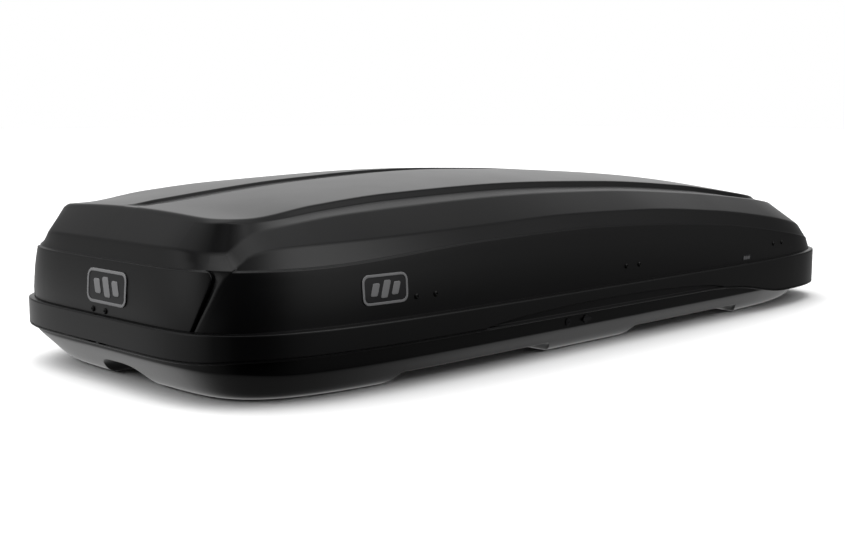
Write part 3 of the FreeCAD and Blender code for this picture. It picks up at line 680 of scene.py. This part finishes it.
def make_base():
    extra = []
    for rear, nose in CHANNELS:
        extra += spread(rear, rear + CHANNEL_RUN, 0.003) + spread(nose - CHANNEL_RUN, nose, 0.003)
    columns, first, last = half_columns(extra, fine=False)
    outside = [base_profile(column, 0.0) for column in columns]
    inside = [base_profile(column, SHEET) for column in columns]
    skin = Skin()
    profiles = [a[::-1] + b for a, b in zip(outside, inside)]
    loops = [[profile[k] for profile in profiles] for k in range(len(profiles[0]))]
    under, floor = skin.stack(loops)
    skin.patch(under, first, last, floor_height)
    skin.patch(floor, first, last, lambda x, y: floor_height(x, y) + SHEET)
    piece = skin.build("base")
    cutters = []
    for side, name in ((1, "left"), (-1, "right")):
        rail = middle_of(name + "_floor_rail")
        for x in SLOTS_X:
            cutters.append(bar_cutter(Vector((x, rail.y, 0.010)), SLOT_SIZE))
        for node, radius in (("_lock_knob", SPINDLE_HOLE), ("_barrel_housing", BARREL_HOLE)):
            middle = middle_of(name + node)
            ring = [(radius * math.cos(a), radius * math.sin(a))
                    for a in (math.tau * k / 24 for k in range(24))]
            place = Vector((middle.x, side * 0.360, middle.z))
            cutters.append(prism(ring, place, Vector((0, side, 0)), Vector((1, 0, 0)), 0.045))
    cut_out(piece, cutters)
    return piece


# ---- trim on the lid's walls ----------------------------------------------------------------------

class Wall:
    """The lid's lower wall on one side ("left", "right") or at the tail ("rear")."""

    def __init__(self, place):
        self.place = place

    def point(self, along, z, out=0.0):
        """Point at x (or y at the tail) and height z above the floor, out from the surface."""
        zone = ("rear", abs(along)) if self.place == "rear" else ("side", along)
        share = (z - SEAM_Z - WALL_START) / (wall_top(zone) - WALL_START)
        point = wall_point(zone, share)
        facing = outward(FOOT, point.x, point.y)
        point += facing * out
        if self.place == "rear":
            return Vector((point.x, math.copysign(point.y, along), point.z))
        return Vector((point.x, point.y * (1 if self.place == "left" else -1), point.z))

    def facing(self, along, z):
        return (self.point(along, z, 0.001) - self.point(along, z)).normalized()


def merged(name, shapes):
    """One piece from several (points, faces)."""
    skin = Skin()
    for points, faces in shapes:
        start = len(skin.points)
        skin.points += points
        skin.faces += [tuple(i + start for i in face) for face in faces]
    return skin.build(name)


def rounded_outline(corners, radius, steps=5):
    """Closed outline of a polygon with its corners rounded off."""
    outline = []
    count = len(corners)
    for i in range(count):
        corner = Vector(corners[i])
        before = (Vector(corners[i - 1]) - corner).normalized()
        after = (Vector(corners[(i + 1) % count]) - corner).normalized()
        half = before.angle(after) / 2
        centre = corner + (before + after).normalized() * radius / math.sin(half)
        start = corner + before * radius / math.tan(half) - centre
        stop = corner + after * radius / math.tan(half) - centre
        turn = start.angle_signed(stop)
        for k in range(steps + 1):
            share = turn * k / steps
            c, s = math.cos(-share), math.sin(-share)
            outline.append(centre + Vector((c * start.x - s * start.y, s * start.x + c * start.y)))
        middle = outline[-1].lerp(Vector(corners[(i + 1) % count]), 0.5)
        outline.append(middle)
    return outline


def inner_outline(outline, amount):
    """Outline moved inwards by an amount."""
    centre = sum(outline, Vector((0, 0))) / len(outline)
    moved = []
    for i, point in enumerate(outline):
        along = outline[(i + 1) % len(outline)] - outline[i - 1]
        normal = Vector((along.y, -along.x)).normalized()
        if normal.dot(centre - point) < 0:
            normal = -normal
        moved.append(point + normal * amount)
    return moved


def pad(wall, place, outline, base, top, edge=0.0004):
    """Raised shape on a wall, from base to top out of its surface, with a soft edge."""
    loops = [(outline, base), (outline, top - edge), (inner_outline(outline, edge), top)]
    centre = sum(outline, Vector((0, 0))) / len(outline)
    for scale in (0.8, 0.5, 0.2):
        loops.append(([centre + (p - centre) * scale for p in inner_outline(outline, edge)], top))
    count = len(outline)
    points = [wall.point(place[0] + p.x, place[1] + p.y, out) for loop, out in loops for p in loop]
    faces = []
    for k in range(len(loops) - 1):
        for i in range(count):
            j = (i + 1) % count
            faces.append((k * count + i, k * count + j, (k + 1) * count + j, (k + 1) * count + i))
    faces.append(tuple(range((len(loops) - 1) * count, len(loops) * count)))
    faces.append(tuple(range(count))[::-1])
    return points, faces


def band_pad(wall, place, outline, width, base, top, edge=0.0003):
    """Raised closed line of a given width along an outline."""
    inner = inner_outline(outline, width)
    loops = [(outline, base), (outline, top - edge), (inner_outline(outline, edge), top),
             (inner_outline(outline, width - edge), top), (inner, top - edge), (inner, base)]
    count = len(outline)
    points = [wall.point(place[0] + p.x, place[1] + p.y, out) for loop, out in loops for p in loop]
    faces = []
    for k in range(len(loops)):
        n = (k + 1) % len(loops)
        for i in range(count):
            j = (i + 1) % count
            faces.append((k * count + i, k * count + j, n * count + j, n * count + i))
    return points, faces


def slanted_bar(x, z, width, height, slant):
    corners = [(x - width / 2 - slant / 2, z - height / 2), (x + width / 2 - slant / 2, z - height / 2),
               (x + width / 2 + slant / 2, z + height / 2), (x - width / 2 + slant / 2, z + height / 2)]
    return rounded_outline(corners, min(width, height) * 0.2)


def make_badge(name, place, along, z, width, height, lean):
    """Blank plate with a raised rim and three plain slanted bars; returns plate and marks."""
    wall = Wall(place)
    w, h = width / 2, height / 2
    outline = rounded_outline([(-w, -h), (w, -h), (w, h), (-w, h)], height * 0.26)
    plate = merged(name + "_plate", [pad(wall, (along, z), outline, -0.0006, 0.0012)])
    shapes = [band_pad(wall, (along, z), outline, height * 0.085, 0.0008, 0.0021)]
    for k, (size, tall) in enumerate(((0.150, 0.34), (0.150, 0.46), (0.150, 0.34))):
        bar = slanted_bar((k - 1) * width * 0.23, 0.0, width * size, height * tall * 1.25,
                          lean * height * tall * 0.4)
        shapes.append(pad(wall, (along, z), bar, 0.0008, 0.0021, 0.0003))
    marks = merged(name + "_marks", shapes)
    return plate, marks


def turned(place, axis, profile, count=20):
    """Closed shape turned about an axis; profile is (radius, distance along the axis)."""
    across = axis.orthogonal().normalized()
    up = axis.cross(across)
    points, faces = [], []
    for radius, reach in profile:
        for i in range(count):
            turn = math.tau * i / count
            points.append(place + axis * reach
                          + (across * math.cos(turn) + up * math.sin(turn)) * radius)
    for k in range(len(profile) - 1):
        for i in range(count):
            j = (i + 1) % count
            faces.append((k * count + i, k * count + j, (k + 1) * count + j, (k + 1) * count + i))
    faces.append(tuple(range(count))[::-1])
    faces.append(tuple(range((len(profile) - 1) * count, len(profile) * count)))
    return points, faces


DOME = ((0.0053, -0.0004), (0.0054, 0.0003), (0.0050, 0.0012), (0.0042, 0.0020), (0.0032, 0.0025),
        (0.0023, 0.0027), (0.0020, 0.0026), (0.0019, 0.0010))


def screw_shapes(place, out, nut_at):
    """Domed screw head with a round socket, its shank and its hexagon nut inside the wall."""
    head = turned(place, out, DOME)
    shank = turned(place, out, ((0.0023, -nut_at - 0.0055), (0.0025, -nut_at - 0.0050),
                                (0.0025, 0.0004)), 14)
    nut = turned(place, out, ((0.0042, -nut_at - 0.0040), (0.0046, -nut_at - 0.0036),
                              (0.0046, -nut_at - 0.0004), (0.0042, -nut_at)), 6)
    return [head, shank, nut]


SCREW_Z = 0.154
SCREW_PITCH = 0.044
REAR_SCREW = (0.020, 0.129)        # distance from the middle, and height
NUT_AT = {"rear": 0.0075, "side": 0.0105}


def make_screws(place):
    wall = Wall(place)
    shapes = []
    if place == "rear":
        for y in (-REAR_SCREW[0], REAR_SCREW[0]):
            shapes += screw_shapes(wall.point(y, REAR_SCREW[1]), wall.facing(y, REAR_SCREW[1]),
                                   NUT_AT["rear"])
        return merged("rear_screws", shapes)
    for x in STATIONS:
        for offset in (-SCREW_PITCH / 2, SCREW_PITCH / 2):
            shapes += screw_shapes(wall.point(x + offset, SCREW_Z), wall.facing(x + offset, SCREW_Z),
                                   NUT_AT["side"])
    return merged(place + "_screws", shapes)


def make_label():
    """Small label on the right side: a thin plate with two plain bars."""
    wall = Wall("right")
    place = (middle_of("side_label").x, middle_of("side_label").z)
    outline = rounded_outline([(-0.016, -0.0065), (0.016, -0.0065), (0.016, 0.0065), (-0.016, 0.0065)],
                              0.0015)
    plate = merged("label_plate", [pad(wall, place, outline, -0.0004, 0.0005, 0.0002)])
    bars = [pad(wall, place, slanted_bar(x, 0.0, 0.008, 0.0075, 0.0), 0.0003, 0.0008, 0.0001)
            for x in (-0.0095, 0.0, 0.0095)]
    return plate, merged("label_bars", bars)


# ---- camera, lights and floor ---------------------------------------------------------------------

CAMERA_PLACE = (-1.97306, -1.82125, 0.45716)
CAMERA_YAW = 45.41                 # degrees from +X towards +Y
CAMERA_DIP = 7.68
CAMERA_LENS = 51.67                # mm, for a sensor 36 mm wide
FLOOR_LIGHT_POWER = 3.6
FLOOR_LIGHT_ANGLE = 100
FLOOR_LIGHT_TRAVEL = (0.25, -0.35, -1.0)
FLOOR_REACH = 30.0
FLOOR_Z = -0.0005


def make_camera():
    data = bpy.data.cameras.new("camera")
    data.lens = CAMERA_LENS
    data.sensor_width = 36.0
    data.clip_start = 0.05
    data.clip_end = 60.0
    camera = bpy.data.objects.new("camera", data)
    bpy.context.scene.collection.objects.link(camera)
    camera.location = CAMERA_PLACE
    camera.rotation_euler = (math.radians(90 - CAMERA_DIP), 0.0, math.radians(CAMERA_YAW - 90))
    bpy.context.scene.camera = camera


def make_floor_light():
    """Broad, soft light from high on the left that brightens the floor and isn't mirrored."""
    data = bpy.data.lights.new("floor_light", "SUN")
    data.energy = FLOOR_LIGHT_POWER
    data.angle = math.radians(FLOOR_LIGHT_ANGLE)
    light = bpy.data.objects.new("floor_light", data)
    bpy.context.scene.collection.objects.link(light)
    light.rotation_euler = Vector(FLOOR_LIGHT_TRAVEL).to_track_quat("-Z", "Y").to_euler()
    light.visible_glossy = False


# Brightness of the studio round the box, by angle in degrees: 0 ahead of the camera, 90 to its left.
# The bands lie straight below, at the floor, at eye level, higher up and overhead.
UNDER_GLOW = 0.10
FLOOR_GLOW = ((-180, 0.0), (-110, 0.0), (-80, 0.08), (-55, 0.15), (-30, 0.7), (0, 0.8), (30, 0.9),
              (60, 0.8), (85, 0.35), (110, 0.22), (140, 0.15), (180, 0.0))
HORIZON_GLOW = ((-180, 0.0), (-140, 0.0), (-125, 0.7), (-105, 0.6), (-82, 0.22), (-58, 0.04),
                (-36, 0.10), (-18, 1.15), (15, 1.0), (35, 0.35), (55, 0.26), (80, 0.34), (105, 0.95),
                (122, 0.95), (138, 0.05), (180, 0.0))
HIGH_GLOW = ((-180, 0.0), (-145, 0.1), (-122, 3.0), (-100, 2.4), (-76, 0.4), (-44, 0.05), (-24, 0.35),
             (-8, 1.1), (16, 1.1), (45, 0.5), (90, 0.3), (120, 0.25), (150, 0.15), (180, 0.0))
TOP_GLOW = ((-180, 0.6), (-120, 1.2), (-90, 0.7), (-55, 0.42), (-30, 0.6), (0, 1.1), (60, 1.3),
            (120, 0.8), (180, 0.6))


def make_world():
    """Studio surround: soft boxes at both sides and overhead, dark behind the camera."""
    world = bpy.data.worlds.new("studio")
    bpy.context.scene.world = world
    world.use_nodes = True
    nodes, links = world.node_tree.nodes, world.node_tree.links
    nodes.clear()
    place = nodes.new("ShaderNodeTexCoord")
    turn = nodes.new("ShaderNodeVectorRotate")
    turn.rotation_type = "Z_AXIS"
    turn.inputs["Angle"].default_value = math.radians(-CAMERA_YAW)
    around = nodes.new("ShaderNodeTexGradient")
    around.gradient_type = "RADIAL"
    split = nodes.new("ShaderNodeSeparateXYZ")
    links.new(place.outputs["Generated"], turn.inputs["Vector"])
    links.new(turn.outputs["Vector"], around.inputs["Vector"])
    links.new(turn.outputs["Vector"], split.inputs["Vector"])

    def glow(stops):
        node = nodes.new("ShaderNodeValToRGB")
        node.color_ramp.interpolation = "EASE"
        elements = node.color_ramp.elements
        while len(elements) < len(stops):
            elements.new(0.5)
        for element, (angle, level) in zip(elements, stops):
            element.position = angle / 360 + 0.5
            element.color = (level, level, level, 1.0)
        links.new(around.outputs["Fac"], node.inputs["Fac"])
        return node.outputs["Color"]

    def rise(low, high):
        node = nodes.new("ShaderNodeMapRange")
        node.interpolation_type = "SMOOTHSTEP"
        node.inputs["From Min"].default_value = math.sin(math.radians(low))
        node.inputs["From Max"].default_value = math.sin(math.radians(high))
        links.new(split.outputs["Z"], node.inputs["Value"])
        return node.outputs["Result"]

    def blend(lower, upper, share):
        node = nodes.new("ShaderNodeMix")
        node.data_type = "RGBA"
        links.new(share, node.inputs["Factor"])
        links.new(lower, node.inputs["A"])
        links.new(upper, node.inputs["B"])
        return node.outputs["Result"]

    under = nodes.new("ShaderNodeRGB")
    under.outputs["Color"].default_value = (UNDER_GLOW, UNDER_GLOW, UNDER_GLOW, 1.0)
    light = under.outputs["Color"]
    for band, low, high in ((FLOOR_GLOW, -62, -34), (HORIZON_GLOW, -14, 4), (HIGH_GLOW, 16, 38),
                            (TOP_GLOW, 42, 66)):
        light = blend(light, glow(band), rise(low, high))
    surround = nodes.new("ShaderNodeBackground")
    links.new(light, surround.inputs["Color"])
    plain = nodes.new("ShaderNodeBackground")
    plain.inputs["Color"].default_value = (1.0, 1.0, 1.0, 1.0)
    path = nodes.new("ShaderNodeLightPath")
    choose = nodes.new("ShaderNodeMixShader")
    out = nodes.new("ShaderNodeOutputWorld")
    links.new(path.outputs["Is Camera Ray"], choose.inputs["Fac"])
    links.new(surround.outputs["Background"], choose.inputs[1])
    links.new(plain.outputs["Background"], choose.inputs[2])
    links.new(choose.outputs["Shader"], out.inputs["Surface"])


def make_floor():
    mesh = bpy.data.meshes.new("floor")
    corners = ((-1, -1), (1, -1), (1, 1), (-1, 1))
    mesh.from_pydata([(x * FLOOR_REACH, y * FLOOR_REACH, 0.0) for x, y in corners], [],
                     [(0, 1, 2, 3)])
    floor = bpy.data.objects.new("floor", mesh)
    bpy.context.scene.collection.objects.link(floor)
    floor.location.z = FLOOR_Z
    material = bpy.data.materials.new("pale_floor")
    material.use_nodes = True
    shader = material.node_tree.nodes["Principled BSDF"]
    shader.inputs["Base Color"].default_value = (0.9, 0.9, 0.9, 1.0)
    shader.inputs["Roughness"].default_value = 0.9
    shader.inputs["Specular IOR Level"].default_value = 0.1
    mesh.materials.append(material)
    floor.visible_glossy = False
    floor.visible_diffuse = False


# ---- materials ------------------------------------------------------------------------------------

def new_material(name, color, roughness, metallic=0.0, grain=1200.0, bump=0.15, spread_by=0.08,
                 stretch=(1.0, 1.0, 1.0)):
    """Procedural material: fine grain in the surface and slow variation in tone and gloss."""
    material = bpy.data.materials.new(name)
    material.use_nodes = True
    nodes, links = material.node_tree.nodes, material.node_tree.links
    shader = nodes["Principled BSDF"]
    shader.inputs["Metallic"].default_value = metallic
    shader.inputs["Specular IOR Level"].default_value = 0.375
    place = nodes.new("ShaderNodeTexCoord")
    scale = nodes.new("ShaderNodeMapping")
    scale.inputs["Scale"].default_value = stretch
    links.new(place.outputs["Object"], scale.inputs["Vector"])
    fine = nodes.new("ShaderNodeTexNoise")
    fine.inputs["Scale"].default_value = grain
    fine.inputs["Detail"].default_value = 3.0
    slow = nodes.new("ShaderNodeTexNoise")
    slow.inputs["Scale"].default_value = 9.0
    slow.inputs["Detail"].default_value = 4.0
    links.new(scale.outputs["Vector"], fine.inputs["Vector"])
    links.new(place.outputs["Object"], slow.inputs["Vector"])
    tone = nodes.new("ShaderNodeMix")
    tone.data_type = "RGBA"
    tone.inputs["A"].default_value = (*[c * (1 - spread_by) for c in color], 1.0)
    tone.inputs["B"].default_value = (*[c * (1 + spread_by) for c in color], 1.0)
    links.new(slow.outputs["Fac"], tone.inputs["Factor"])
    links.new(tone.outputs["Result"], shader.inputs["Base Color"])
    gloss = nodes.new("ShaderNodeMapRange")
    gloss.inputs["To Min"].default_value = roughness * (1 - spread_by)
    gloss.inputs["To Max"].default_value = roughness * (1 + spread_by)
    links.new(slow.outputs["Fac"], gloss.inputs["Value"])
    links.new(gloss.outputs["Result"], shader.inputs["Roughness"])
    relief = nodes.new("ShaderNodeBump")
    relief.inputs["Strength"].default_value = bump
    relief.inputs["Distance"].default_value = 0.0002
    links.new(fine.outputs["Fac"], relief.inputs["Height"])
    links.new(relief.outputs["Normal"], shader.inputs["Normal"])
    return material


MATERIALS = {
    "lid_plastic": new_material("lid_plastic", (0.0020, 0.0020, 0.0022), 0.34, bump=0.10),
    "base_plastic": new_material("base_plastic", (0.0022, 0.0022, 0.0024), 0.30, bump=0.08),
    "trim_plate": new_material("trim_plate", (0.24, 0.24, 0.245), 0.45, bump=0.05),
    "label_grey": new_material("label_grey", (0.16, 0.16, 0.165), 0.55, bump=0.05),
    "zinc_steel": new_material("zinc_steel", (0.55, 0.56, 0.58), 0.38, metallic=1.0, grain=300.0,
                               bump=0.06, spread_by=0.15),
    "black_screw": new_material("black_screw", (0.012, 0.012, 0.012), 0.30, metallic=0.6, bump=0.08),
    "alloy": new_material("alloy", (0.62, 0.63, 0.64), 0.34, metallic=1.0, grain=500.0, bump=0.08,
                          stretch=(0.05, 1.0, 1.0)),
    "strut_black": new_material("strut_black", (0.012, 0.012, 0.012), 0.22, bump=0.03),
    "strut_chrome": new_material("strut_chrome", (0.78, 0.78, 0.79), 0.10, metallic=1.0, bump=0.02),
    "lock_plastic": new_material("lock_plastic", (0.014, 0.014, 0.015), 0.32, bump=0.06),
    "lock_metal": new_material("lock_metal", (0.045, 0.045, 0.048), 0.30, metallic=0.9, bump=0.04),
    "red_plastic": new_material("red_plastic", (0.38, 0.022, 0.016), 0.36, bump=0.05),
}


def dress(piece, slot_name):
    piece.data.materials.clear()
    piece.data.materials.append(MATERIALS[slot_name])


def dress_cad_nodes():
    for part in frame["record"]["subparts"]:
        node = frame["nodes"][part["node"]]
        for place in node.material_slots:
            place.material = MATERIALS[part["material_slot"]]


# ---- assembly -------------------------------------------------------------------------------------

make_camera()
make_world()
make_floor()
make_floor_light()

dress_cad_nodes()
lid = make_lid()
dress(lid, "lid_plastic")
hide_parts("lid_shell")
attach(lid, "lid")
base = make_base()
dress(base, "base_plastic")
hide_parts("base_tray")
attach(base, "base")

for place in ("left", "right", "rear"):
    if place == "rear":
        plate, marks = make_badge("rear_badge", place, -0.026, SEAM_Z + 0.050, 0.124, 0.058, 1.0)
        nodes = ("rear_badge", "rear_lug_screws")
    else:
        lean = 1.0 if place == "right" else -1.0
        plate, marks = make_badge(place + "_badge", place, -0.638, SEAM_Z + 0.053, 0.094, 0.050, lean)
        nodes = (place + "_badge", place + "_bracket_screws")
    screws = make_screws(place)
    dress(plate, "lock_plastic")
    dress(marks, "trim_plate")
    dress(screws, "black_screw")
    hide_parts(nodes[0])
    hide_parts(nodes[0])
    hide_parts(nodes[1])
    for piece in (plate, marks, screws):
        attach(piece, "lid")
label_plate, label_bars = make_label()
dress(label_plate, "lock_plastic")
dress(label_bars, "label_grey")
for piece in (label_plate, label_bars):
    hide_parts("side_label")
    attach(piece, "lid")

bpy.context.scene.view_settings.view_transform = "Standard"
